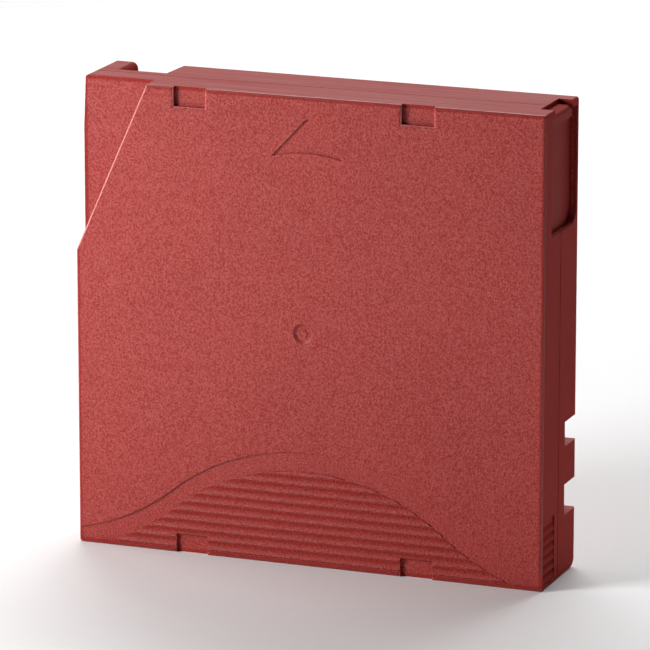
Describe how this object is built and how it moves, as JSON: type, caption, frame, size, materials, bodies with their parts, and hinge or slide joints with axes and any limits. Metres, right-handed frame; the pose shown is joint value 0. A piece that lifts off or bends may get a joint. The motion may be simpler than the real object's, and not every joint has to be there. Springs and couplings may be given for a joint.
{
  "type": "data tape cartridge",
  "caption": "Flat data tape cartridge: two-shell case with a stepped front corner and ribbed grip, sprung tape door, write-protect slider, and a tape reel with brake and face gear.",
  "frame": {"origin": "centre of the rear (label) edge that it stands on, midway between its two faces", "axes": "+X across the width towards the tape door, +Y through the thickness towards the face with the drive gear opening, +Z from the rear edge up to the edge that enters the drive first"},
  "size_m": [0.1054, 0.0216, 0.102],
  "materials": {
    "case_plastic": "fine spark-eroded grain, dark red",
    "door_plastic": "smooth satin, dark red",
    "tab_plastic": "satin light grey",
    "reel_plastic": "satin light grey",
    "brake_plastic": "satin off-white",
    "spider_plastic": "satin off-white",
    "clamp_plastic": "satin black",
    "tape_film": "smooth dark brown film",
    "screw_steel": "zinc plated",
    "drive_plate_steel": "stamped, turned grain",
    "pin_steel": "turned",
    "spring_steel": "drawn wire and strip",
    "board_laminate": "solder-masked laminate",
    "chip_resin": "potting resin"
  },
  "bodies": {
    "case": {"upper_shell": "case_plastic", "lower_shell": "case_plastic", "case_screws": "screw_steel", "leader_pin": "pin_steel", "leader_pin_clamp": "clamp_plastic", "leader_pin_spring": "spring_steel", "tape_free_end": "tape_film", "memory_board": "board_laminate", "memory_chip": "chip_resin", "brake_spring": "spring_steel", "door_spring": "spring_steel"},
    "door": {"tape_door": "door_plastic"},
    "write_protect": {"write_protect_tab": "tab_plastic"},
    "reel": {"reel_hub": "reel_plastic", "reel_upper_flange": "reel_plastic", "reel_drive_plate": "drive_plate_steel", "tape_pack": "tape_film"},
    "brake": {"brake_button": "brake_plastic"},
    "spider": {"release_spider": "spider_plastic"}
  },
  "joints": [
    {"name": "door_slide", "type": "slide", "parent": "case", "child": "door", "axis": [0, 0, -1], "range_m": [0, 0.0226], "stiffness_N_per_m": 20, "springref_m": -0.01, "deforming": ["door_spring"]},
    {"name": "write_protect_slide", "type": "slide", "parent": "case", "child": "write_protect", "axis": [1, 0, 0], "range_m": [0, 0.0044]},
    {"name": "reel_spin", "type": "hinge", "parent": "case", "child": "reel", "pos_m": [-0.0009, 0, 0.051], "axis": [0, 1, 0], "continuous": true},
    {"name": "brake_slide", "type": "slide", "parent": "case", "child": "brake", "axis": [0, -1, 0], "range_m": [0, 0.0018], "stiffness_N_per_m": 400, "springref_m": -0.003, "deforming": ["brake_spring"]},
    {"name": "release_slide", "type": "slide", "parent": "reel", "child": "spider", "axis": [0, -1, 0], "range_m": [0, 0.0018]}
  ],
  "couplings": [
    {"joint": "release_slide", "follows": "brake_slide", "ratio": 1}
  ]
}
